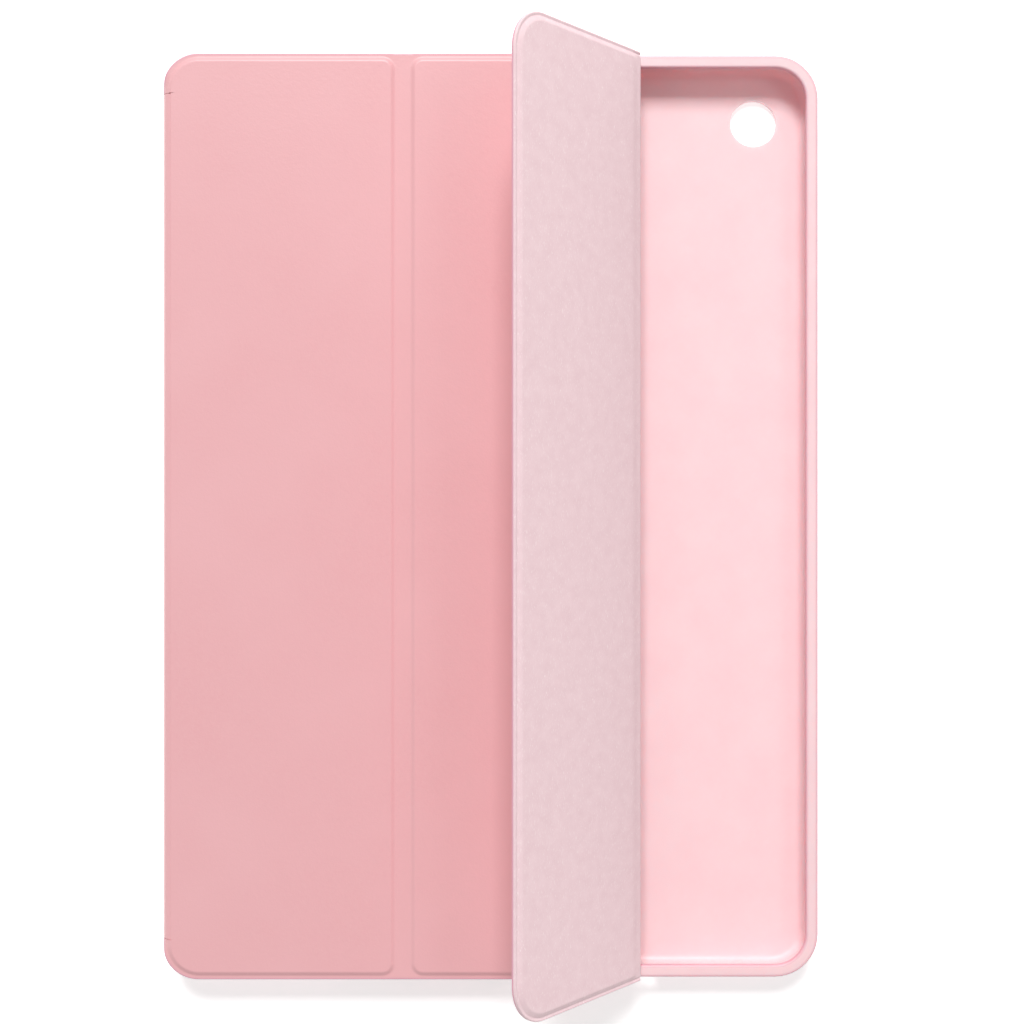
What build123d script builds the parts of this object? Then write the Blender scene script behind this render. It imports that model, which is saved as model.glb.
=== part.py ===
"""Tri-fold folio case for a 10.2 inch class tablet, in millimetres.

The case lies on its back: X runs across it with the spine on the left, Y up the long side and Z up.
The cover lies closed over the soft tray, except the third panel, which is folded back and stands up.
"""
import math
import os

from build123d import *

# The tablet that the tray is moulded for
TABLET_WIDTH = 174.1
TABLET_HEIGHT = 250.6
TABLET_THICKNESS = 7.5
TABLET_CORNER = 10.0

# Soft tray
POCKET_CLEARANCE = 0.25
POCKET_HEADROOM = 0.2
WALL = 1.6
FLOOR = 1.5
LIP_THICKNESS = 1.3
LIP_WIDTH = 3.3
LIP_ROUND = 0.55
SHELL_EDGE = 3.5

# Cut-outs of the tray, placed from the tablet's top and right edges
HEADPHONE_BORE = 7.0
HEADPHONE_FROM_LEFT = 16.0
MICROPHONE_BORE = 3.0
MICROPHONE_FROM_TOP = 7.0
CAMERA_BORE = 13.0
CAMERA_FROM_CORNER = 14.5
PORT_SLOT = (14.0, 6.4)
SPEAKER_SLOT = (24.0, 3.4)
SPEAKER_OFFSET = 33.0

# Button covers
BUTTON_HEIGHT = 2.8
BUTTON_THICKNESS = 1.1
BUTTON_GAP = 0.3
DISH_WIDTH = 0.8
DISH_DEPTH = 0.4
POWER_LENGTH = 12.0
POWER_FROM_RIGHT = 23.0
VOLUME_LENGTH = 10.0
VOLUME_FROM_TOP = (30.0, 44.0)

# Cover laminate: leather outside, board in the panels, lining inside
LEATHER = 0.7
LINING = 0.6
BOARD = 1.0
BOARD_INSET = 0.7
STEP_ROUND = 0.4
RIM = 2.2
FOLD_WIDTH = 5.2
FOLD_AXIS_RISE = 1.1
COVER_GAP = 0.3
COVER_CORNER = 10.0
FLAP_CORNER = 11.0
PAD_CORNER = 3.0
PANEL_1_PAD = 61.0
PANEL_2_PAD = 58.3
FLAP_ANGLE = 132.0

# Spine and the flange under the tray
SPINE_GAP = 0.6
SPINE_BOARD = 0.8
SPINE_TOP_BEND = 2.5
SPINE_LOW_BEND = 2.6
SPINE_END_INSET = 11.0
FLANGE_WIDTH = 22.0
FLANGE_CORNER = 6.0
FLANGE_GLUE = 0.1
FLANGE_GAP = 0.2
GLUE_INSET = 1.0

# Magnets in the boards
MAGNET = (10.0, 3.6, 0.8)
MAGNET_GAP = 0.05
MAGNET_FROM_EDGE = 4.5
FLAP_MAGNETS = 6
STAND_MAGNETS = 4
MAGNET_PITCH = 34.0

# Tray, from the tablet out
POCKET_WIDTH = TABLET_WIDTH + 2 * POCKET_CLEARANCE
POCKET_HEIGHT = TABLET_HEIGHT + 2 * POCKET_CLEARANCE
POCKET_CORNER = TABLET_CORNER + POCKET_CLEARANCE
POCKET_TOP = FLOOR + TABLET_THICKNESS + POCKET_HEADROOM
SHELL_WIDTH = POCKET_WIDTH + 2 * WALL
SHELL_HEIGHT = POCKET_HEIGHT + 2 * WALL
SHELL_CORNER = POCKET_CORNER + WALL
SHELL_TOP = POCKET_TOP + LIP_THICKNESS

# Left to right: spine, air, tray
SPINE_THICKNESS = LEATHER + SPINE_BOARD + LINING
CASE_WIDTH = SPINE_THICKNESS + SPINE_GAP + SHELL_WIDTH
CASE_LEFT = -CASE_WIDTH / 2
CASE_RIGHT = CASE_WIDTH / 2
SHELL_LEFT = CASE_RIGHT - SHELL_WIDTH
SHELL_X = CASE_RIGHT - SHELL_WIDTH / 2
TABLET_LEFT = SHELL_X - TABLET_WIDTH / 2
TABLET_RIGHT = SHELL_X + TABLET_WIDTH / 2
TABLET_TOP = TABLET_HEIGHT / 2
TABLET_MIDDLE = FLOOR + TABLET_THICKNESS / 2

# The seam is the plane where the leather meets the lining outside the boards
SEAM_Z = SHELL_TOP + COVER_GAP + LINING + BOARD / 2
FOLD_Z = SEAM_Z + FOLD_AXIS_RISE
PANEL_1_LEFT = CASE_LEFT + SPINE_TOP_BEND
FOLD_1_X = PANEL_1_LEFT + PANEL_1_PAD + FOLD_WIDTH / 2
FOLD_2_X = FOLD_1_X + FOLD_WIDTH + PANEL_2_PAD
FLAP_LENGTH = CASE_RIGHT - FOLD_2_X
COVER_HEIGHT = SHELL_HEIGHT
PAD_HEIGHT = COVER_HEIGHT - 2 * RIM
SPINE_LENGTH = COVER_HEIGHT - 2 * SPINE_END_INSET
SPINE_BOTTOM = SPINE_LOW_BEND
SPINE_TOP = SEAM_Z + LEATHER - SPINE_TOP_BEND
FLANGE_LEFT = SHELL_LEFT + SHELL_EDGE
FLANGE_RIGHT = FLANGE_LEFT + FLANGE_WIDTH

os.makedirs("parts", exist_ok=True)


def save(builder, name):
    """Label a finished piece and write it under its own name."""
    builder.part.label = name
    export_step(builder.part, f"parts/{name}.step")


# ---- Soft tray -------------------------------------------------------------------------------------

SHELL_BACK = Plane((SHELL_X, 0, 0))
# the walls' outer faces, each with its normal outwards and its own y upwards
TOP_WALL = Plane((0, SHELL_HEIGHT / 2, 0), x_dir=(-1, 0, 0), z_dir=(0, 1, 0))
BOTTOM_WALL = Plane((0, -SHELL_HEIGHT / 2, 0), x_dir=(1, 0, 0), z_dir=(0, -1, 0))
RIGHT_WALL = Plane((CASE_RIGHT, 0, 0), x_dir=(0, 1, 0), z_dir=(1, 0, 0))

# each button cover: its name, its wall, its place along the wall and its length
BUTTONS = [("power_button_cover", TOP_WALL, POWER_FROM_RIGHT - TABLET_RIGHT, POWER_LENGTH)]
for volume_name, from_top in zip(("volume_up_button_cover", "volume_down_button_cover"), VOLUME_FROM_TOP):
    BUTTONS.append((volume_name, RIGHT_WALL, TABLET_TOP - from_top, VOLUME_LENGTH))


def wall_slot(wall, place, length, height, depth):
    """Cut a level round-ended slot from a wall's outer face, at the tablet's middle height."""
    with BuildSketch(wall) as opening:
        with Locations((place, TABLET_MIDDLE)):
            SlotOverall(length, height)
    extrude(opening.sketch, amount=-depth, mode=Mode.SUBTRACT)


with BuildPart() as back_shell:
    with BuildSketch(SHELL_BACK):
        RectangleRounded(SHELL_WIDTH, SHELL_HEIGHT, SHELL_CORNER)
    extrude(amount=SHELL_TOP)
    fillet(back_shell.faces().sort_by(Axis.Z)[0].edges(), SHELL_EDGE)
    with BuildSketch(SHELL_BACK.offset(FLOOR)):
        RectangleRounded(POCKET_WIDTH, POCKET_HEIGHT, POCKET_CORNER)
    extrude(amount=POCKET_TOP - FLOOR, mode=Mode.SUBTRACT)
    fillet(back_shell.edges().filter_by_position(Axis.Z, FLOOR, FLOOR), SHELL_EDGE - WALL)
    with BuildSketch(SHELL_BACK.offset(POCKET_TOP)):
        RectangleRounded(SHELL_WIDTH - 2 * LIP_WIDTH, SHELL_HEIGHT - 2 * LIP_WIDTH, SHELL_CORNER - LIP_WIDTH)
    extrude(amount=LIP_THICKNESS, mode=Mode.SUBTRACT)
    fillet(back_shell.faces().sort_by(Axis.Z)[-1].edges(), LIP_ROUND)
    # camera and microphone holes through the floor
    with BuildSketch():
        with Locations((TABLET_RIGHT - CAMERA_FROM_CORNER, TABLET_TOP - CAMERA_FROM_CORNER)):
            Circle(CAMERA_BORE / 2)
        with Locations((SHELL_X, TABLET_TOP - MICROPHONE_FROM_TOP)):
            Circle(MICROPHONE_BORE / 2)
    extrude(amount=FLOOR, mode=Mode.SUBTRACT)
    # headphone hole through the top wall
    with BuildSketch(TOP_WALL):
        with Locations((-TABLET_LEFT - HEADPHONE_FROM_LEFT, TABLET_MIDDLE)):
            Circle(HEADPHONE_BORE / 2)
    extrude(amount=-WALL, mode=Mode.SUBTRACT)
    # charging port and two speaker slots through the bottom wall
    wall_slot(BOTTOM_WALL, SHELL_X, *PORT_SLOT, WALL)
    for side in (-1, 1):
        wall_slot(BOTTOM_WALL, SHELL_X + side * SPEAKER_OFFSET, *SPEAKER_SLOT, WALL)
    # a shallow dish and a through slot for each button cover
    for _, wall, place, length in BUTTONS:
        dish = 2 * (BUTTON_GAP + DISH_WIDTH)
        wall_slot(wall, place, length + dish, BUTTON_HEIGHT + dish, DISH_DEPTH)
        wall_slot(wall, place, length + 2 * BUTTON_GAP, BUTTON_HEIGHT + 2 * BUTTON_GAP, WALL)
    # recess in the back for the glued flange, open at the spine side
    with BuildSketch() as recess:
        with Locations(((SHELL_LEFT + FLANGE_RIGHT + FLANGE_GAP) / 2, 0)):
            Rectangle(FLANGE_RIGHT + FLANGE_GAP - SHELL_LEFT, SPINE_LENGTH + 2 * FLANGE_GAP)
        fillet(recess.vertices().group_by(Axis.X)[-1], FLANGE_CORNER + FLANGE_GAP)
    extrude(amount=LEATHER + FLANGE_GLUE, mode=Mode.SUBTRACT)
save(back_shell, "back_shell")

for name, wall, place, length in BUTTONS:
    with BuildPart() as button_cover:
        with BuildSketch(wall):
            with Locations((place, TABLET_MIDDLE)):
                SlotOverall(length, BUTTON_HEIGHT)
        extrude(amount=-BUTTON_THICKNESS)
        outer_face = button_cover.faces().sort_by(Axis(wall.origin, wall.z_dir))[-1]
        fillet(outer_face.edges(), STEP_ROUND)
    save(button_cover, name)


# ---- Laminates: leather, board and lining ----------------------------------------------------------


def outline(start, end, width, start_corner, end_corner):
    """A rectangle from start to end along x, centred on y, with its own corner radius at each end."""
    with BuildSketch() as shape:
        with Locations(((start + end) / 2, 0)):
            Rectangle(end - start, width)
        for group, radius in ((0, start_corner), (-1, end_corner)):
            if radius:
                fillet(shape.vertices().group_by(Axis.X)[group], radius)
    return shape.sketch


def laminate(name, seam, rim, pad, board, rise, drop, magnets=()):
    """Make the leather, board and lining of one stiff panel.

    seam is the plane where leather and lining meet, its normal on the leather's side. The board lifts
    the leather by rise and the lining by drop. magnets holds the places of the magnets in the board.
    """
    outwards = Axis(seam.origin, seam.z_dir)
    with BuildPart() as leather:
        with BuildSketch(seam):
            add(rim)
        extrude(amount=LEATHER)
        if rise:
            with BuildSketch(seam):
                add(pad)
            extrude(amount=rise + LEATHER)
            fillet(leather.faces().sort_by(outwards)[-1].edges(), STEP_ROUND)
            with BuildSketch(seam):
                add(board)
            extrude(amount=rise, mode=Mode.SUBTRACT)
    save(leather, f"{name}_leather")

    with BuildPart() as lining:
        with BuildSketch(seam):
            add(rim)
        extrude(amount=-LINING)
        with BuildSketch(seam):
            add(pad)
        extrude(amount=-drop - LINING)
        fillet(lining.faces().sort_by(outwards)[0].edges(), STEP_ROUND)
        with BuildSketch(seam):
            add(board)
        extrude(amount=-drop, mode=Mode.SUBTRACT)
    save(lining, f"{name}_lining")

    long, wide, thick = MAGNET
    with BuildPart() as stiffener:
        with BuildSketch(seam.offset(-drop)):
            add(board)
        extrude(amount=rise + drop)
        if magnets:
            with BuildSketch(seam.offset(rise)):
                with Locations(*magnets):
                    Rectangle(wide + 2 * MAGNET_GAP, long + 2 * MAGNET_GAP)
            extrude(amount=-thick - MAGNET_GAP, mode=Mode.SUBTRACT)
    save(stiffener, f"{name}_board")

    if magnets:
        with BuildPart() as magnet_row:
            with BuildSketch(seam.offset(rise - MAGNET_GAP)):
                with Locations(*magnets):
                    Rectangle(wide, long)
            extrude(amount=-thick)
        save(magnet_row, f"{name}_magnets")


def magnet_places(x, count):
    """A row of magnets along y, evenly spaced about the middle."""
    return [(x, (index - (count - 1) / 2) * MAGNET_PITCH) for index in range(count)]


def padded_outlines(start, end, corners):
    """The raised pad of a panel and the board inside it."""
    pad = outline(start, end, PAD_HEIGHT, *corners)
    inner = [radius - BOARD_INSET for radius in corners]
    board = outline(start + BOARD_INSET, end - BOARD_INSET, PAD_HEIGHT - 2 * BOARD_INSET, *inner)
    return pad, board


def flat_strip(name, start, end, height):
    """A flat layer that runs the cover's full height between two panels."""
    with BuildPart() as strip:
        with BuildSketch(Plane.XY.offset(height)):
            add(outline(start, end, COVER_HEIGHT, 0, 0))
        extrude(amount=LEATHER if name.endswith("leather") else -LINING)
    save(strip, name)


def bent_strip(name, centre, inner, outer, start, turn, width, start_leg=0, end_leg=0):
    """A layer bent about centre, from the start angle through turn, with straight legs at its ends."""
    with BuildPart() as strip:
        with BuildSketch(Plane.XZ):
            with BuildLine():
                near = CenterArc(centre, inner, start, turn)
                far = CenterArc(centre, outer, start, turn)
                Line(near @ 0, far @ 0)
                Line(near @ 1, far @ 1)
            make_face()
            for at, leg in ((0, -start_leg), (1, end_leg)):
                if leg:
                    along = (near % at) * leg
                    with BuildLine():
                        Polyline(near @ at, near @ at + along, far @ at + along, far @ at, close=True)
                    make_face()
        extrude(amount=width / 2, both=True)
    save(strip, name)


# ---- Flange and spine ------------------------------------------------------------------------------

with BuildPart() as flange_leather:
    with BuildSketch():
        add(outline(FLANGE_LEFT, FLANGE_RIGHT, SPINE_LENGTH, 0, FLANGE_CORNER))
    extrude(amount=LEATHER)
save(flange_leather, "flange_leather")

glue_ends = (FLANGE_LEFT + GLUE_INSET, FLANGE_RIGHT - GLUE_INSET)
with BuildPart() as flange_adhesive:
    with BuildSketch(Plane.XY.offset(LEATHER)):
        add(outline(*glue_ends, SPINE_LENGTH - 2 * GLUE_INSET, 0, FLANGE_CORNER - GLUE_INSET))
    extrude(amount=FLANGE_GLUE)
save(flange_adhesive, "flange_adhesive")

# the lower web is two strips, each bending about its own line: one next to the flange, one at the spine
LOW_CENTRE = (CASE_LEFT + SPINE_LOW_BEND, SPINE_LOW_BEND)
LOW_SEAM = SPINE_LOW_BEND - LEATHER
LOW_TURN = -45
for web, start, leather_leg in (
    ("flange_fold", 270, FLANGE_LEFT - LOW_CENTRE[0]),
    ("spine_foot", 270 + LOW_TURN, 0),
):
    bent_strip(
        f"{web}_leather", LOW_CENTRE, LOW_SEAM, SPINE_LOW_BEND, start, LOW_TURN, SPINE_LENGTH, leather_leg
    )
    bent_strip(f"{web}_lining", LOW_CENTRE, LOW_SEAM - LINING, LOW_SEAM, start, LOW_TURN, SPINE_LENGTH)

# the spine's own plane faces outwards, with its x upwards, and its board pushes only the lining
SPINE_SEAM = Plane((CASE_LEFT + LEATHER, 0, 0), x_dir=(0, 0, 1), z_dir=(-1, 0, 0))
spine_face = outline(SPINE_BOTTOM, SPINE_TOP, SPINE_LENGTH, 0, 0)
spine_core = outline(SPINE_BOTTOM + BOARD_INSET, SPINE_TOP - BOARD_INSET, SPINE_LENGTH - 2 * RIM, 0, 0)
laminate("spine", SPINE_SEAM, spine_face, spine_face, spine_core, 0, SPINE_BOARD)

TOP_CENTRE = (PANEL_1_LEFT, SPINE_TOP)
TOP_SEAM = SPINE_TOP_BEND - LEATHER
bent_strip("spine_fold_leather", TOP_CENTRE, TOP_SEAM, SPINE_TOP_BEND, 180, -90, SPINE_LENGTH)
bent_strip("spine_fold_lining", TOP_CENTRE, TOP_SEAM - LINING, TOP_SEAM, 180, -90, SPINE_LENGTH)

# ---- Cover panels and the folds between them -------------------------------------------------------

COVER_SEAM = Plane.XY.offset(SEAM_Z)
PANEL_1_RIGHT = PANEL_1_LEFT + PANEL_1_PAD
PANEL_2_LEFT = PANEL_1_RIGHT + FOLD_WIDTH
PANEL_2_RIGHT = PANEL_2_LEFT + PANEL_2_PAD

# panel 1 reaches the case's left edge only past the ends of the spine
with BuildSketch() as panel_1_rim:
    add(outline(CASE_LEFT, PANEL_1_RIGHT, COVER_HEIGHT, COVER_CORNER, 0))
    with Locations(((CASE_LEFT + PANEL_1_LEFT) / 2, 0)):
        Rectangle(PANEL_1_LEFT - CASE_LEFT, SPINE_LENGTH, mode=Mode.SUBTRACT)
panel_1_pad, panel_1_core = padded_outlines(PANEL_1_LEFT, PANEL_1_RIGHT, (COVER_CORNER - RIM, PAD_CORNER))
stand_row = magnet_places(PANEL_1_LEFT + MAGNET_FROM_EDGE, STAND_MAGNETS)
laminate(
    "panel_1", COVER_SEAM, panel_1_rim.sketch, panel_1_pad, panel_1_core, BOARD / 2, BOARD / 2, stand_row
)

flat_strip("fold_1_leather", PANEL_1_RIGHT, PANEL_2_LEFT, SEAM_Z)
flat_strip("fold_1_lining", PANEL_1_RIGHT, PANEL_2_LEFT, SEAM_Z)

panel_2_rim = outline(PANEL_2_LEFT, PANEL_2_RIGHT, COVER_HEIGHT, 0, 0)
panel_2_pad, panel_2_core = padded_outlines(PANEL_2_LEFT, PANEL_2_RIGHT, (PAD_CORNER, PAD_CORNER))
laminate("panel_2", COVER_SEAM, panel_2_rim, panel_2_pad, panel_2_core, BOARD / 2, BOARD / 2)

# the second fold bends about its axis, with half its width as a leg on each side
FOLD_LEG = FOLD_WIDTH / 2
FOLD_CENTRE = (FOLD_2_X, FOLD_Z)
for layer, inner, thickness in (
    ("leather", FOLD_AXIS_RISE - LEATHER, LEATHER),
    ("lining", FOLD_AXIS_RISE, LINING),
):
    radii = (inner, inner + thickness)
    bent_strip(f"fold_2_{layer}", FOLD_CENTRE, *radii, -90, FLAP_ANGLE, COVER_HEIGHT, FOLD_LEG, FOLD_LEG)

# panel 3 is drawn on its own plane, whose x starts at the fold's axis and runs to the free edge
lean = math.radians(FLAP_ANGLE)
FLAP_AXIS = Plane(
    (FOLD_2_X, 0, FOLD_Z),
    x_dir=(math.cos(lean), 0, math.sin(lean)),
    z_dir=(-math.sin(lean), 0, math.cos(lean)),
)
FLAP_SEAM = FLAP_AXIS.offset(-FOLD_AXIS_RISE)
panel_3_rim = outline(FOLD_LEG, FLAP_LENGTH, COVER_HEIGHT, 0, FLAP_CORNER)
panel_3_pad, panel_3_core = padded_outlines(FOLD_LEG, FLAP_LENGTH - RIM, (PAD_CORNER, FLAP_CORNER - RIM))
closure_row = magnet_places(FLAP_LENGTH - RIM - MAGNET_FROM_EDGE, FLAP_MAGNETS)
laminate("panel_3", FLAP_SEAM, panel_3_rim, panel_3_pad, panel_3_core, BOARD / 2, BOARD / 2, closure_row)
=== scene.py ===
"""Looks of a tri-fold tablet case: a soft tray with a folding cover of PU leather lined with suede."""
import math

import bpy
import numpy as np
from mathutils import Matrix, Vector


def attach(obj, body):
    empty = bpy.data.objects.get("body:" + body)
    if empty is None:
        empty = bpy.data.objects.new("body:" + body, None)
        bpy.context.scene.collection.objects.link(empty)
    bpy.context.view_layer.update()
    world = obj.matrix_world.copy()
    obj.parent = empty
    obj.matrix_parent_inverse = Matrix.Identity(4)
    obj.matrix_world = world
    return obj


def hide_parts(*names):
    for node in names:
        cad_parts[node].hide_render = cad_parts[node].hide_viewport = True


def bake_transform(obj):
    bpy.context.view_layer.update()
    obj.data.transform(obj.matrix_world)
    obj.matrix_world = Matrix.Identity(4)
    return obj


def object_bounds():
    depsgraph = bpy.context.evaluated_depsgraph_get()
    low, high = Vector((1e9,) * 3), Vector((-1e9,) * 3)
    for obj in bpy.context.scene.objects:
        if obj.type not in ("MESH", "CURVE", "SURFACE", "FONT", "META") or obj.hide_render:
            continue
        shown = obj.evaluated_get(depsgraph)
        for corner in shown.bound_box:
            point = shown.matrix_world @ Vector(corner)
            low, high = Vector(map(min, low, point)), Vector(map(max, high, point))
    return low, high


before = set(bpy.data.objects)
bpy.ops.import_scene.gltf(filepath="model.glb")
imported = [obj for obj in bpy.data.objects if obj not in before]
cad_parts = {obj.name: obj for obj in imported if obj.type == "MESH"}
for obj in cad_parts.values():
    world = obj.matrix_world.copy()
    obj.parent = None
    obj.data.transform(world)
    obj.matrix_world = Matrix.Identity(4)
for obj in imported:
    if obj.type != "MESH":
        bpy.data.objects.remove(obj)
CAD_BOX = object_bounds()

# ---- Camera, floor and light -----------------------------------------------------------------------
# The case lies on a white table under a large soft light from the far right, as in a packshot.
# The camera hangs straight above it, about 0.4 m up.


def colour(code):
    """A hex code in sRGB as a linear RGBA colour."""
    values = [int(code[i:i + 2], 16) / 255 for i in (1, 3, 5)]
    return [v / 12.92 if v <= 0.04045 else ((v + 0.055) / 1.055) ** 2.4 for v in values] + [1.0]


def add(tree, kind, inputs=None, **attributes):
    """Add one shader node, set its attributes, and set or link its inputs."""
    node = tree.nodes.new("ShaderNode" + kind)
    for name, value in attributes.items():
        setattr(node, name, value)
    for socket, value in (inputs or {}).items():
        if isinstance(value, bpy.types.NodeSocket):
            tree.links.new(value, node.inputs[socket])
        else:
            node.inputs[socket].default_value = value
    return node


def finish_named(name):
    """A new material: it, its node tree, its Principled shader and Object coordinates in millimetres."""
    material = bpy.data.materials.new(name)
    material.use_nodes = True
    tree = material.node_tree
    place = add(tree, "TexCoord").outputs["Object"]
    millimetres = add(tree, "Mapping", {"Vector": place, "Scale": (1000, 1000, 1000)}).outputs[0]
    return material, tree, tree.nodes["Principled BSDF"], millimetres


def between(tree, factor, low, high, first, second):
    """Go from the first colour to the second as factor goes from low to high."""
    share = add(tree, "MapRange", {"Value": factor, "From Min": low, "From Max": high}).outputs[0]
    mix = add(tree, "Mix", {"Factor": share}, data_type="RGBA")
    for socket, value in ((mix.inputs[6], first), (mix.inputs[7], second)):
        if isinstance(value, bpy.types.NodeSocket):
            tree.links.new(value, socket)
        else:
            socket.default_value = value
    return mix.outputs[2]


scene = bpy.context.scene
scene.view_settings.view_transform = "Standard"

CAMERA_HEIGHT = 0.399
lens = bpy.data.cameras.new("Camera")
lens.lens = 49.5
lens.sensor_width = 36.0
lens.clip_start = 0.01
camera = bpy.data.objects.new("Camera", lens)
camera.location = (0.0058, 0.0012, CAMERA_HEIGHT)
scene.collection.objects.link(camera)
scene.camera = camera

# matt white laminate, a touch uneven so that it isn't one flat colour
laminate_top, tree, shader, place = finish_named("white_laminate")
smears = add(tree, "TexNoise", {"Vector": place, "Scale": 1 / 60}).outputs["Fac"]
worn = between(tree, smears, 0.3, 0.7, colour("#f8f8f7"), colour("#fbfbfa"))
tree.links.new(worn, shader.inputs["Base Color"])
shader.inputs["Roughness"].default_value = 0.8
shader.inputs["Specular IOR Level"].default_value = 0.1
shader.inputs["Emission Color"].default_value = colour("#ffffff")
shader.inputs["Emission Strength"].default_value = 0.45
# from below the table is clear, so that the back of the case can be seen
clear = add(tree, "BsdfTransparent").outputs[0]
below = add(tree, "NewGeometry").outputs["Backfacing"]
seen = add(tree, "MixShader", {0: below, 1: shader.outputs[0], 2: clear}).outputs[0]
tree.links.new(seen, tree.nodes["Material Output"].inputs["Surface"])

sheet = bpy.data.meshes.new("Floor")
reach, table = 3.0, CAD_BOX[0][2] - 0.0002
corners = [(-reach, -reach, table), (reach, -reach, table), (reach, reach, table), (-reach, reach, table)]
sheet.from_pydata(corners, [], [(0, 1, 2, 3)])
sheet.materials.append(laminate_top)
floor = bpy.data.objects.new("Floor", sheet)
scene.collection.objects.link(floor)

# name: the direction it comes from, its distance and size in metres, and its share of the table's light
LIGHTS = {
    "Key": ((-0.05, 0.66, 0.74), 4.0, 1.3, 0.67),
    "Right": ((0.52, 0.08, 0.85), 2.0, 0.5, 0.06),
}
for name, (way, distance, size, share) in LIGHTS.items():
    toward = Vector(way).normalized()
    lamp = bpy.data.lights.new(name, "AREA")
    lamp.size = size
    # a square lamp of P watts lights a table d away, tilted by t, by P cos t / (pi d)^2
    lamp.energy = share * (math.pi * distance) ** 2 / toward.z
    light = bpy.data.objects.new(name, lamp)
    light.location = toward * distance
    light.rotation_euler = (-toward).to_track_quat("-Z", "Y").to_euler()
    scene.collection.objects.link(light)

world = bpy.data.worlds.new("Studio")
world.use_nodes = True
scene.world = world
world.node_tree.nodes["Background"].inputs["Color"].default_value = colour("#ffffff")
world.node_tree.nodes["Background"].inputs["Strength"].default_value = 0.33

# ---- Tray ------------------------------------------------------------------------------------------
# The tray is one injection-moulded piece of TPU, soft enough for its lip to snap over the tablet.
# It has a satin, finely spark-eroded skin and is slightly milky, so light softens its edges.

TPU_TINTS = ("#f9d9dc", "#f6d3d7")
# painted shade: the deeper tint painted on the lip's rounded edges
TPU_PAINTED_EDGE_SHADE = "#e0abb7"
tpu, tree, shader, place = finish_named("moulded_tpu_satin")
milkiness = add(tree, "TexNoise", {"Vector": place, "Scale": 1 / 12, "Detail": 3.0}).outputs["Fac"]
tint = between(tree, milkiness, 0.2, 0.8, colour(TPU_TINTS[0]), colour(TPU_TINTS[1]))
# painted shade: the lip is painted a deeper tint at its outer edge and over its inner one, standing in for
# the shade of its rounded edges and of the thicker wall behind them. A point's inset is the corner's radius
# less its distance past the middle of the corner's arc
TRAY_MIDDLE = (1.35, 0.0, 0.0)
TRAY_CORNER = 11.85
TRAY_HALF = (88.9, 127.15, 0.0)
LIP_REACH = 3.3
from_middle = add(tree, "VectorMath", {0: place, 1: TRAY_MIDDLE}, operation="SUBTRACT").outputs[0]
flattened = add(tree, "VectorMath", {0: from_middle, 1: (1, 1, 0)}, operation="MULTIPLY").outputs[0]
quarter = add(tree, "VectorMath", {0: flattened}, operation="ABSOLUTE").outputs[0]
arc_middle = tuple(half - TRAY_CORNER for half in TRAY_HALF[:2]) + (0.0,)
past_arc = add(tree, "VectorMath", {0: quarter, 1: arc_middle}, operation="SUBTRACT").outputs[0]
outside = add(tree, "VectorMath", {0: past_arc, 1: (0, 0, 0)}, operation="MAXIMUM").outputs[0]
length = add(tree, "VectorMath", {0: outside}, operation="LENGTH").outputs["Value"]
inward = add(tree, "Math", {0: TRAY_CORNER, 1: length}, operation="SUBTRACT").outputs[0]
from_lip = add(tree, "Math", {0: inward, 1: LIP_REACH}, operation="SUBTRACT").outputs[0]
near_lip = add(tree, "Math", {0: from_lip}, operation="ABSOLUTE").outputs[0]
# the inner painted shade is only on the lip, not on the pocket's floor below it: it fades in over these
# heights, which end at the lip's underside
LIP_UNDERSIDE = (8.6, 9.2)
height = add(tree, "SeparateXYZ", {"Vector": place}).outputs["Z"]
low, high = LIP_UNDERSIDE
heights_in = {"Value": height, "From Min": low, "From Max": high, "To Min": 5.0, "To Max": 0.0}
under_lip = add(tree, "MapRange", heights_in).outputs[0]
from_roll = add(tree, "Math", {0: near_lip, 1: under_lip}, operation="ADD").outputs[0]
# painted shade: where the deeper tint is painted, at the lip's outer edge and over its inner edge
outer_painted_shade = add(tree, "MapRange", {"Value": inward, "From Min": 0.0, "From Max": 1.0}).outputs[0]
inner_painted_shade = add(tree, "MapRange", {"Value": from_roll, "From Min": 0.0, "From Max": 0.8}).outputs[0]
roll = add(tree, "Math", {0: outer_painted_shade, 1: inner_painted_shade}, operation="MINIMUM").outputs[0]
# the tray's tint with the painted edge shade mixed in
rolled = between(tree, roll, 0.0, 1.0, colour(TPU_PAINTED_EDGE_SHADE), tint)
tree.links.new(rolled, shader.inputs["Base Color"])
shader.inputs["Roughness"].default_value = 0.42
shader.inputs["IOR"].default_value = 1.5
shader.inputs["Subsurface Weight"].default_value = 0.5
shader.inputs["Subsurface Scale"].default_value = 0.003
shader.inputs["Subsurface Radius"].default_value = (1.0, 0.55, 0.5)
# the mould's spark-eroded skin, about 0.35 mm between peaks
peaks = add(tree, "TexNoise", {"Vector": place, "Scale": 1 / 0.35, "Detail": 1.0}).outputs["Fac"]
skin = add(tree, "Bump", {"Height": peaks, "Distance": 0.006 / 1000, "Strength": 1.0}).outputs[0]
tree.links.new(skin, shader.inputs["Normal"])


def finish_nodes(material, *names):
    """Give CAD nodes one finish."""
    for name in names:
        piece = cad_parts[name]
        piece.data.materials.clear()
        piece.data.materials.append(material)


finish_nodes(tpu, "back_shell", "power_button_cover", "volume_up_button_cover", "volume_down_button_cover")

# ---- Boards, magnets and glue ----------------------------------------------------------------------
# Grey pressboard stiffens the panels and spine, with nickel-plated magnets let into its pockets.
# A film of clear contact glue holds the flange to the tray's back.

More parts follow.
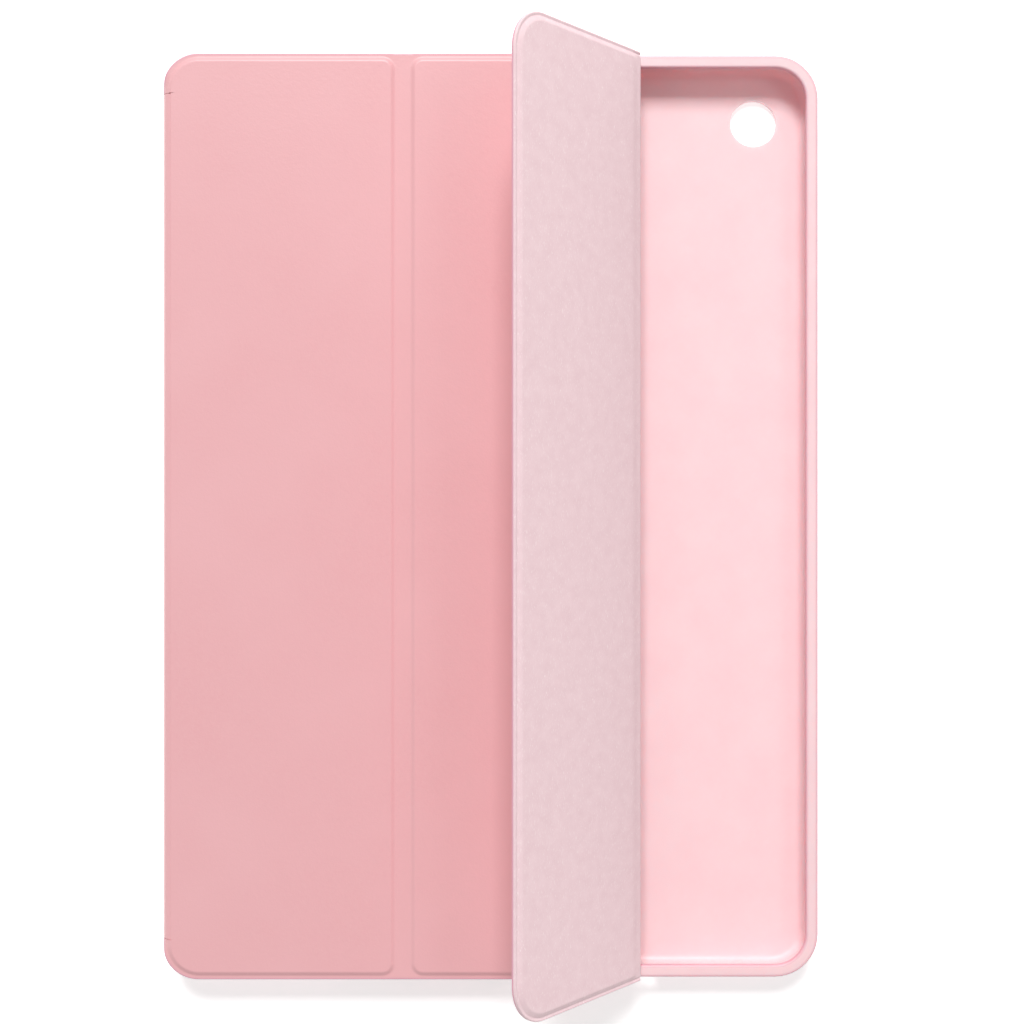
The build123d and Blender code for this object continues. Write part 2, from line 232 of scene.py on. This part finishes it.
# pressed grey waste paper: dull, with short fibres lying one way
board, tree, shader, place = finish_named("grey_pressboard")
fibre = add(tree, "Mapping", {"Vector": place, "Scale": (1.0, 0.25, 1.0)}).outputs[0]
fibres = add(tree, "TexNoise", {"Vector": fibre, "Scale": 1 / 0.6, "Detail": 4.0}).outputs["Fac"]
pulp = between(tree, fibres, 0.35, 0.65, colour("#8b8a88"), colour("#a3a19c"))
tree.links.new(pulp, shader.inputs["Base Color"])
shader.inputs["Roughness"].default_value = 0.9
rough = add(tree, "Bump", {"Height": fibres, "Distance": 0.03 / 1000, "Strength": 1.0}).outputs[0]
tree.links.new(rough, shader.inputs["Normal"])
finish_nodes(board, "spine_board", "panel_1_board", "panel_2_board", "panel_3_board")

# bright nickel over a sintered magnet: a warm grey mirror, slightly blurred
nickel, tree, shader, place = finish_named("nickel_plated_magnet")
plating = add(tree, "TexNoise", {"Vector": place, "Scale": 1 / 1.5}).outputs["Fac"]
plated = between(tree, plating, 0.3, 0.7, colour("#b9b5ad"), colour("#cac6be"))
tree.links.new(plated, shader.inputs["Base Color"])
shader.inputs["Metallic"].default_value = 1.0
shader.inputs["Roughness"].default_value = 0.28
finish_nodes(nickel, "panel_1_magnets", "panel_3_magnets")

# dried contact glue: a yellowish film, thicker in patches
glue, tree, shader, place = finish_named("contact_glue_film")
patches = add(tree, "TexNoise", {"Vector": place, "Scale": 1 / 3.0}).outputs["Fac"]
film = between(tree, patches, 0.3, 0.7, colour("#d8d2bd"), colour("#e4dfcd"))
tree.links.new(film, shader.inputs["Base Color"])
shader.inputs["Roughness"].default_value = 0.3
finish_nodes(glue, "flange_adhesive")

# ---- Cover panels ----------------------------------------------------------------------------------
# Each panel is a board between leather and lining, which are pressed together round it, so that the
# board shows as a raised pad with a soft step down to a thin rim. Leather outside, suede inside.

# all lengths from here on are in millimetres: each layer's thickness, and half the board's, which
# each layer rises by over the board
LEATHER = 0.7
LINING = 0.6
BOARD_RISE = 0.5
BOARD_INSET = 0.7
# the rim round the pad, and what is left of it flat once the step has spread outwards
RIM = 2.2
RIM_LEFT = 1.5
# the step runs between these two depths inside a line that lies RIM_LEFT in from the rim's edge
STEP_FOOT = -0.6
STEP_TOP = 0.9
HALF_HEIGHT = 127.15
SEAM_Z = 11.9


def ruled(*stretches):
    """Grid lines from (start, end, spacing) stretches that follow one another."""
    lines = [np.linspace(a, b, max(2, round((b - a) / step) + 1))[:-1] for a, b, step in stretches]
    return np.concatenate([*lines, [stretches[-1][1]]])


def both_ways(lines):
    """Grid lines from 0 up, mirrored to the other side of 0."""
    return np.concatenate([-lines[:0:-1], lines])


def smooth(low, high, value):
    """0 up to low, 1 from high on, and 3t^2 - 2t^3 between, where t is the share of the way."""
    share = np.clip((value - low) / (high - low), 0, 1)
    return share * share * (3 - 2 * share)


def inset(across, along, start, end, half, start_radius, end_radius):
    """How far a point lies inside a rounded rectangle from start to end and -half to half.

    With q the point's distance past the corner arc's centre in each direction and r the corner's radius,
    it is r less the length of q where both parts are positive, and r less the larger part elsewhere.
    """
    radius = np.where(across < (start + end) / 2, start_radius, end_radius)
    beyond = np.abs(across - (start + end) / 2) - (end - start) / 2 + radius
    above = np.abs(along) - half + radius
    outside = np.hypot(np.maximum(beyond, 0), np.maximum(above, 0))
    return radius - outside - np.minimum(np.maximum(beyond, above), 0)


def round_corner(across, along, centre, radius, side, half=HALF_HEIGHT):
    """Turn the grid's square corners into quarter discs, ring for ring.

    Past the arc's centre by (a, b), both positive, a point moves to (a, b) max(a, b) / |(a, b)|.
    """
    a = (across - centre) * side
    b = np.abs(along) - half + radius
    corner = (a > 0) & (b > 0)
    shrink = np.where(corner, np.maximum(a, b) / np.maximum(np.hypot(a, b), 1e-9), 1)
    turned = centre + side * a * shrink
    raised = np.sign(along) * (half - radius + b * shrink)
    return np.where(corner, turned, across), np.where(corner, raised, along)


def edge_round(depth, radius):
    """How far a rounded edge lies below the face: r - sqrt(r^2 - (r - depth)^2) within r of the edge."""
    short = np.clip(radius - depth, 0, radius)
    return radius - np.sqrt(radius * radius - short * short)


def closed_sheet(name, upper, lower, rim, material, bodies, start=None):
    """A closed mesh between two grids of points in millimetres, with a skirt round their edge.

    The grids' rows run along the sheet and their columns along y, so the upper face looks outwards.
    rim is how far each point lies from the cut edge, which the material reads as an attribute.
    The name is the CAD node's, and the piece rides on its body, or, when start is given, stays on its own
    with its placing baked in.
    """
    rows, columns = upper.shape[:2]
    count = rows * columns
    number = np.arange(count).reshape(rows, columns)
    face = np.stack([number[:-1, :-1], number[1:, :-1], number[1:, 1:], number[:-1, 1:]], -1)
    face = face.reshape(-1, 4)
    ring = np.concatenate([number[0, :-1], number[:-1, -1], number[-1, :0:-1], number[:0:-1, 0]])
    after = np.roll(ring, -1)
    skirt = np.stack([ring, after, after + count, ring + count], -1)
    quads = np.concatenate([face, face[:, ::-1] + count, skirt])
    points = np.concatenate([upper.reshape(-1, 3), lower.reshape(-1, 3)]) / 1000
    mesh = bpy.data.meshes.new(f"{name}_surface")
    mesh.vertices.add(len(points))
    mesh.vertices.foreach_set("co", points.ravel())
    mesh.loops.add(quads.size)
    mesh.loops.foreach_set("vertex_index", quads.ravel())
    mesh.polygons.add(len(quads))
    mesh.polygons.foreach_set("loop_start", np.arange(0, quads.size, 4))
    mesh.polygons.foreach_set("use_smooth", np.ones(len(quads), bool))
    mesh.update(calc_edges=True)
    mesh.validate()
    mesh.set_sharp_from_angle(angle=math.radians(48))
    cut = mesh.attributes.new("from_edge", "FLOAT", "POINT")
    cut.data.foreach_set("value", np.tile(np.clip(rim, 0, 50).ravel(), 2))
    mesh.materials.append(material)
    piece = bpy.data.objects.new(f"{name}_surface", mesh)
    scene.collection.objects.link(piece)
    if start is None:
        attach(piece, bodies)
    else:
        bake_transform(piece)
    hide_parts(name)
    return piece


# PU leather: a knit coated with polyurethane and embossed with a fine pebble; satin, slightly mottled
LEATHER_TINTS = ("#e8aeb2", "#ebb4b8", "#eab3b6")
pu_leather, tree, shader, place = finish_named("pu_leather_satin")
dye = add(tree, "TexNoise", {"Vector": place, "Scale": 1 / 30, "Detail": 3.0}).outputs["Fac"]
cloud = between(tree, dye, 0.35, 0.65, colour(LEATHER_TINTS[0]), colour(LEATHER_TINTS[1]))
speckle = {"Vector": place, "Scale": 1 / 0.9, "Detail": 4.0, "Roughness": 0.7}
fleck = add(tree, "TexNoise", speckle).outputs["Fac"]
mottle = between(tree, fleck, 0.3, 0.7, cloud, colour(LEATHER_TINTS[2]))
# the rolled edge is a little duller and bluer than the face
from_edge = add(tree, "Attribute", attribute_name="from_edge").outputs["Fac"]
edged = between(tree, from_edge, 0.15, 0.75, colour("#dfa5b6"), mottle)
tree.links.new(edged, shader.inputs["Base Color"])
shader.inputs["Roughness"].default_value = 0.38
shader.inputs["IOR"].default_value = 1.45
shader.inputs["Sheen Weight"].default_value = 0.08
# pebbles about 0.45 mm across, with the knit's 1.2 mm unevenness under them
cells = add(tree, "TexVoronoi", {"Vector": place, "Scale": 1 / 0.45}, feature="SMOOTH_F1")
knit = add(tree, "TexNoise", {"Vector": place, "Scale": 1 / 1.2}).outputs["Fac"]
uneven = add(tree, "Bump", {"Height": knit, "Distance": 0.02 / 1000, "Strength": 1.0}).outputs[0]
pebbled = {"Height": cells.outputs["Distance"], "Distance": 0.012 / 1000, "Strength": 1.0, "Normal": uneven}
tree.links.new(add(tree, "Bump", pebbled).outputs[0], shader.inputs["Normal"])

# microfibre suede: needled fibres brushed one way; matt, with short streaks and lighter fibre tips,
# which are drawn several times coarser than real nap so that they show at arm's length
SUEDE_TINTS = ("#eccdd2", "#f3d7db", "#ffeeee")
suede, tree, shader, place = finish_named("microfibre_suede")
handled = add(tree, "TexNoise", {"Vector": place, "Scale": 1 / 3, "Detail": 4.0}).outputs["Fac"]
patch = between(tree, handled, 0.2, 0.8, colour(SUEDE_TINTS[0]), colour(SUEDE_TINTS[1]))
brushing = {"Vector": place, "Rotation": (0, 0, 0.7), "Scale": (1.0, 0.3, 1.0)}
brushed = add(tree, "Mapping", brushing).outputs[0]
nap = {"Vector": brushed, "Scale": 1 / 0.3, "Detail": 3.0, "Roughness": 0.6}
tips = add(tree, "TexNoise", nap).outputs["Fac"]
tipped = between(tree, tips, 0.58, 0.78, patch, colour(SUEDE_TINTS[2]))
tree.links.new(tipped, shader.inputs["Base Color"])
shader.inputs["Roughness"].default_value = 0.95
shader.inputs["Specular IOR Level"].default_value = 0.2
shader.inputs["Sheen Weight"].default_value = 0.25
shader.inputs["Sheen Roughness"].default_value = 0.5
pile = add(tree, "Bump", {"Height": tips, "Distance": 0.05 / 1000, "Strength": 1.0}).outputs[0]
tree.links.new(pile, shader.inputs["Normal"])


def leather_lift(depth):
    """Height of the leather's face over the seam, from its depth inside the pad's outline."""
    return LEATHER + BOARD_RISE * smooth(STEP_FOOT, STEP_TOP, depth)


def lining_lift(edge, fold):
    """Depth of the lining's face under the seam: edge and fold are its insets from rim and fold sides.

    The step is crisp along the rim, with a pressed crease at its foot, and long and soft at a fold.
    """
    crease = 0.13 * np.exp(-(((edge - STEP_FOOT) / 0.28) ** 2))
    return -LINING - BOARD_RISE * smooth(STEP_FOOT, 1.0, edge) * smooth(-2.3, 1.3, fold) + crease


# pad corners up to this radius lie at a fold
FOLD_CORNER = 5.0


def panel_sheets(name, across, along, origin, lean, pad, corners, outline, folds, shape, notch=None):
    """The leather and the lining of one panel, on a grid of across and along lines.

    origin and lean place it: the seam starts at origin (x, z) and rises at lean. pad is (start, end) of
    the raised pad and corners its radii, and outline is the same for the rim. folds holds the fold sides.
    """
    u, v = np.meshgrid(across, along, indexing="ij")
    if notch:
        # past the spine's ends the rim reaches further out than beside the spine
        width, reach, half = notch
        beside = 1 - smooth(half, half + 0.1, np.abs(v))
        u = u + beside * width * np.clip(1 - (u - across[0]) / reach, 0, 1)
    u, v = shape(u, v)
    over_board = inset(u, v, *pad, HALF_HEIGHT - RIM, *corners)
    # the step starts outside the board, except at a fold, where a corner's radius also stays small
    spread = RIM - RIM_LEFT
    start = pad[0] - spread * (pad[0] not in folds)
    end = pad[1] + spread * (pad[1] not in folds)
    radii = [radius + spread * (radius > FOLD_CORNER) for radius in corners]
    depth = inset(u, v, start, end, HALF_HEIGHT - RIM_LEFT, *radii)
    rim = inset(u, v, *outline[:2], HALF_HEIGHT, *outline[2:])
    fold = np.minimum.reduce([np.abs(u - side) for side in folds])
    hidden = BOARD_RISE * smooth(0.3, BOARD_INSET, over_board)
    lifts = {
        "leather": (leather_lift(depth) - edge_round(rim, 0.32), hidden),
        "lining": (-hidden, lining_lift(rim - RIM_LEFT, fold) + edge_round(rim, 0.28)),
    }
    if notch:
        # next to the spine the rim's ends droop like the bend beside them: r - sqrt(r^2 - t^2) at t past it
        past = np.clip(pad[0] - u, 0, 0.92 * width)
        droop = (width - np.sqrt(width**2 - past**2)) * (1 - smooth(half, half + 8, np.abs(v)))
        lifts = {layer: [face - droop for face in faces] for layer, faces in lifts.items()}
    cos, sin = math.cos(lean), math.sin(lean)
    for layer, faces in lifts.items():
        upper, lower = (
            np.stack([origin[0] + u * cos - w * sin, v, origin[1] + u * sin + w * cos], -1) for w in faces
        )
        material = pu_leather if layer == "leather" else suede
        piece = closed_sheet(f"{name}_{layer}", upper, lower, rim, material, name)


PANEL_1 = (-87.75, -26.75)
PANEL_2 = (-21.55, 36.75)
CASE_LEFT = -90.25
SPINE_HALF = 116.15
# the third panel starts and ends this far from fold 2's axis, whose seam is FOLD_RISE from it
FLAP = (2.6, 50.9)
FLAP_LEAN = math.radians(132)
FOLD_2 = (39.35, 13.0)
FOLD_RISE = 1.1
# a cut edge so far off that a rounded outline has no end on that side
FAR = 500.0
heights = both_ways(ruled(
    (0.0, 112.0, 3.2), (112.0, 115.8, 0.6), (115.8, 116.6, 0.1), (116.6, 120.0, 0.5), (120.0, 123.0, 0.3),
    (123.0, 126.6, 0.15), (126.6, HALF_HEIGHT, 0.08),
))


def as_drawn(u, v):
    """A grid whose corners stay square."""
    return u, v



panel_sheets(
    "panel_1",
    ruled((CASE_LEFT, -89.85, 0.1), (-89.85, -86.0, 0.15), (-86.0, -80.25, 0.6), (-80.25, -32.0, 3.0),
          (-32.0, -29.0, 0.4), (-29.0, PANEL_1[1], 0.15)),
    heights, (0.0, SEAM_Z), 0.0, PANEL_1, (7.8, 3.0), (CASE_LEFT, FAR, 10.0, 0.0), (PANEL_1[1],),
    lambda u, v: round_corner(u, v, CASE_LEFT + 10.0, 10.0, -1), notch=(2.5, 8.0, SPINE_HALF),
)
panel_sheets(
    "panel_2",
    ruled((PANEL_2[0], -19.3, 0.15), (-19.3, -16.5, 0.4), (-16.5, 31.5, 3.0), (31.5, 34.5, 0.4),
          (34.5, PANEL_2[1], 0.15)),
    heights, (0.0, SEAM_Z), 0.0, PANEL_2, (3.0, 3.0), (-FAR, FAR, 0.0, 0.0), PANEL_2, as_drawn,
)
flap_origin = (FOLD_2[0] + FOLD_RISE * math.sin(FLAP_LEAN), FOLD_2[1] - FOLD_RISE * math.cos(FLAP_LEAN))
panel_sheets(
    "panel_3",
    ruled((FLAP[0], 5.0, 0.15), (5.0, 8.0, 0.4), (8.0, 39.9, 3.0), (39.9, 45.5, 0.5), (45.5, 50.4, 0.15),
          (50.4, FLAP[1], 0.08)),
    heights, flap_origin, FLAP_LEAN, (FLAP[0], FLAP[1] - RIM), (3.0, 8.8), (-FAR, FLAP[1], 0.0, 11.0),
    (FLAP[0],), lambda u, v: round_corner(u, v, FLAP[1] - 11.0, 11.0, 1),
)

# ---- Folds, spine and flange -----------------------------------------------------------------------
# Between the boards leather and lining are pressed flat together and bend as a soft web. The spine is
# the same laminate with a narrow board, and its leather runs on under the tray as a glued flange.


def bend(centre, radius, start, turn, before=0.0, after=0.0):
    """A path with a straight leg before and after a bend: its points (x, z) and its outward normals.

    The bend is an arc about centre from the start angle through turn; the leather's side is outside
    the arc when it turns clockwise and inside when it turns the other way.
    """
    way = np.sign(turn)
    angle = np.radians(np.linspace(start, start + turn, 25))
    radial = np.stack([np.cos(angle), np.sin(angle)], -1)
    ahead = way * np.stack([-np.sin(angle), np.cos(angle)], -1)
    points = np.array(centre) + radius * radial
    normals = -way * radial
    if before:
        back = np.linspace(before, 0, 9)[:-1, None]
        points = np.concatenate([points[0] - back * ahead[0], points])
        normals = np.concatenate([np.repeat(normals[:1], 8, 0), normals])
    if after:
        on = np.linspace(0, after, 9)[1:, None]
        points = np.concatenate([points, points[-1] + on * ahead[-1]])
        normals = np.concatenate([normals, np.repeat(normals[-1:], 8, 0)])
    return points, normals


def web(name, layer, path, half, bodies, start, before=None, after=None):
    """One layer of a web: the path's profile, as thick as the layer, carried along y.

    before and after are the pads that end at its start and begin at its end, whose steps it carries on.
    """
    points, normals = path
    along = heights[np.abs(heights) <= half - 0.5]
    along = np.concatenate([[-half, -half + 0.1, -half + 0.25], along, [half - 0.25, half - 0.1, half]])
    passed = np.concatenate([[0], np.cumsum(np.hypot(*np.diff(points, axis=0).T))])
    v, walked = np.meshgrid(along, passed)
    edge = half - np.abs(v)
    rounding = edge_round(edge, 0.3 if half == HALF_HEIGHT else 0.1)
    if layer == "leather":
        outer = np.full_like(v, LEATHER)
        for pad, ahead in ((before, walked), (after, passed[-1] - walked)):
            if pad:
                depth = inset(ahead, v, -pad, 0, HALF_HEIGHT - RIM_LEFT, 3.0, 3.0)
                outer += leather_lift(depth) - LEATHER
        faces = (outer - rounding, np.zeros_like(v))
    else:
        outer = np.full_like(v, -LINING)
        for pad, ahead in ((before, walked), (after, passed[-1] - walked)):
            if pad:
                outer += lining_lift(edge - RIM_LEFT, -ahead) + LINING
        faces = (np.zeros_like(v), outer + rounding)
    upper, lower = (
        np.stack([points[:, :1] + normals[:, :1] * w, v, points[:, 1:] + normals[:, 1:] * w], -1)
        for w in faces
    )
    material = pu_leather if layer == "leather" else suede
    rim = edge if half == HALF_HEIGHT else edge + RIM
    closed_sheet(f"{name}_{layer}", upper, lower, rim, material, bodies, start)


def point(x, z):
    """A point of the middle section, in metres."""
    return (x / 1000, 0, z / 1000)


FOLD_1_X = -24.15
STOPS = 21
across_fold = np.stack([np.linspace(PANEL_1[1], PANEL_2[0], STOPS), np.full(STOPS, SEAM_Z)], -1)
flat = (across_fold, np.tile([0.0, 1.0], (STOPS, 1)))
# fold 2's web runs on straight for LEG on both sides of its bend
LEG = 2.6
cos, sin = math.cos(FLAP_LEAN), math.sin(FLAP_LEAN)
leg_end = (flap_origin[0] + LEG * cos, flap_origin[1] + LEG * sin)
# the spine's lower and upper bends: their centres, and how far the seam runs from them
LOW = (-87.65, 2.6)
LOW_SEAM = 1.9
TOP = (-87.75, 10.1)
TOP_SEAM = 1.8
# the flange fold's leather also runs in under the tray, up to the flange
FLANGE_LEG = 3.6
# wider than any step reaches, so that a web meets only the near side of a pad
PAD_WIDTH = 40.0


def low(angle):
    """The point of the lower bend's seam at an angle in degrees."""
    turned = math.radians(angle)
    return LOW[0] + LOW_SEAM * math.cos(turned), LOW[1] + LOW_SEAM * math.sin(turned)


# name: path, half length, bodies on each side, where the bend starts and ends, and the pads on each side
WEBS = {
    "fold_1": (flat, HALF_HEIGHT, ("panel_1", "panel_2"),
               point(PANEL_1[1], SEAM_Z), point(PANEL_2[0], SEAM_Z), PAD_WIDTH, PAD_WIDTH),
    "fold_2": (bend(FOLD_2, FOLD_RISE, -90, 132, LEG, LEG), HALF_HEIGHT, ("panel_2", "panel_3"),
               point(PANEL_2[1], SEAM_Z), point(*leg_end), PAD_WIDTH, PAD_WIDTH),
    "spine_fold": (bend(TOP, TOP_SEAM, 180, -90), SPINE_HALF, ("spine", "panel_1"),
                   point(TOP[0] - TOP_SEAM, TOP[1]), point(TOP[0], SEAM_Z), None, PAD_WIDTH),
    "spine_foot": (bend(LOW, LOW_SEAM, 225, -45), SPINE_HALF, ("spine_foot", "spine"),
                   point(*low(225)), point(*low(180)), None, None),
    "flange_fold": (bend(LOW, LOW_SEAM, 270, -45), SPINE_HALF, ("tray", "spine_foot"),
                    point(*low(270)), point(*low(225)), None, None),
}
for name, (path, half, bodies, start, end, before, after) in WEBS.items():
    web(name, "lining", path, half, bodies, start, before, after)
    if name == "flange_fold":
        path = bend(LOW, LOW_SEAM, 270, -45, FLANGE_LEG)
    web(name, "leather", path, half, bodies, start, before, after)


def strip_sheet(name, layer, u, v, rim, place, lifts, body):
    """A stiff or glued strip: its grid placed by place(u, w), with its outer and inner lift over the seam."""
    upper, lower = (np.stack([place(u, w)[0], v, place(u, w)[1]], -1) for w in lifts)
    material = pu_leather if layer == "leather" else suede
    return closed_sheet(f"{name}_{layer}", upper, lower, rim, material, body)


SPINE_BOTTOM = 2.6
SPINE_TOP = 10.1
# the spine's board lies wholly on the lining's side, so only the lining steps round it
SPINE_DROP = 0.8
# the board's ends stop this short of the spine's
SPINE_END = 1.5


def upright(u, w):
    """The spine stands on the case's left side: u is its height and w its lift outwards."""
    return CASE_LEFT + LEATHER - w, u


u, v = np.meshgrid(
    ruled((SPINE_BOTTOM, 4.6, 0.12), (4.6, 8.1, 0.5), (8.1, SPINE_TOP, 0.12)),
    both_ways(ruled((0.0, 110.0, 4.0), (110.0, 114.5, 0.3), (114.5, SPINE_HALF, 0.1))), indexing="ij",
)
to_edge = SPINE_HALF - np.abs(v)
core = inset(u, v, SPINE_BOTTOM, SPINE_TOP, SPINE_HALF - SPINE_END, 0.0, 0.0)
rounding = edge_round(to_edge, 0.3)
hidden = SPINE_DROP * smooth(0.25, BOARD_INSET, core)
outside = (LEATHER - rounding, 0 * u)
strip_sheet("spine", "leather", u, v, to_edge + RIM, upright, outside, "spine")
inside = (-hidden, -LINING - SPINE_DROP * smooth(0, 0.9, core) + rounding)
strip_sheet("spine", "lining", u, v, to_edge + RIM, upright, inside, "spine")

FLANGE = (-84.05, -62.05)
FLANGE_CORNER = 6.0
# across, the grid runs from the flange's free edge to its fold, so it counts along -x
free, fold = -FLANGE[1], -FLANGE[0]
arc = free + FLANGE_CORNER
a, b = np.meshgrid(
    ruled((free, free + 1.2, 0.1), (free + 1.2, arc, 0.5), (arc, fold, 3.0)),
    both_ways(ruled((0.0, 110.0, 4.0), (110.0, 115.0, 0.4), (115.0, SPINE_HALF, 0.1))), indexing="ij",
)
a, b = round_corner(a, b, arc, FLANGE_CORNER, -1, SPINE_HALF)
to_edge = inset(a, b, free, FAR, SPINE_HALF, FLANGE_CORNER, 0.0)
lifts = (LEATHER - edge_round(to_edge, 0.15), 0 * a)
flange = strip_sheet("flange", "leather", a, b, to_edge, lambda u, w: (-u, LEATHER - w), lifts, "tray")
flat = ((FLANGE[1] - FLANGE[0]) / 1000, 2 * SPINE_HALF / 1000)
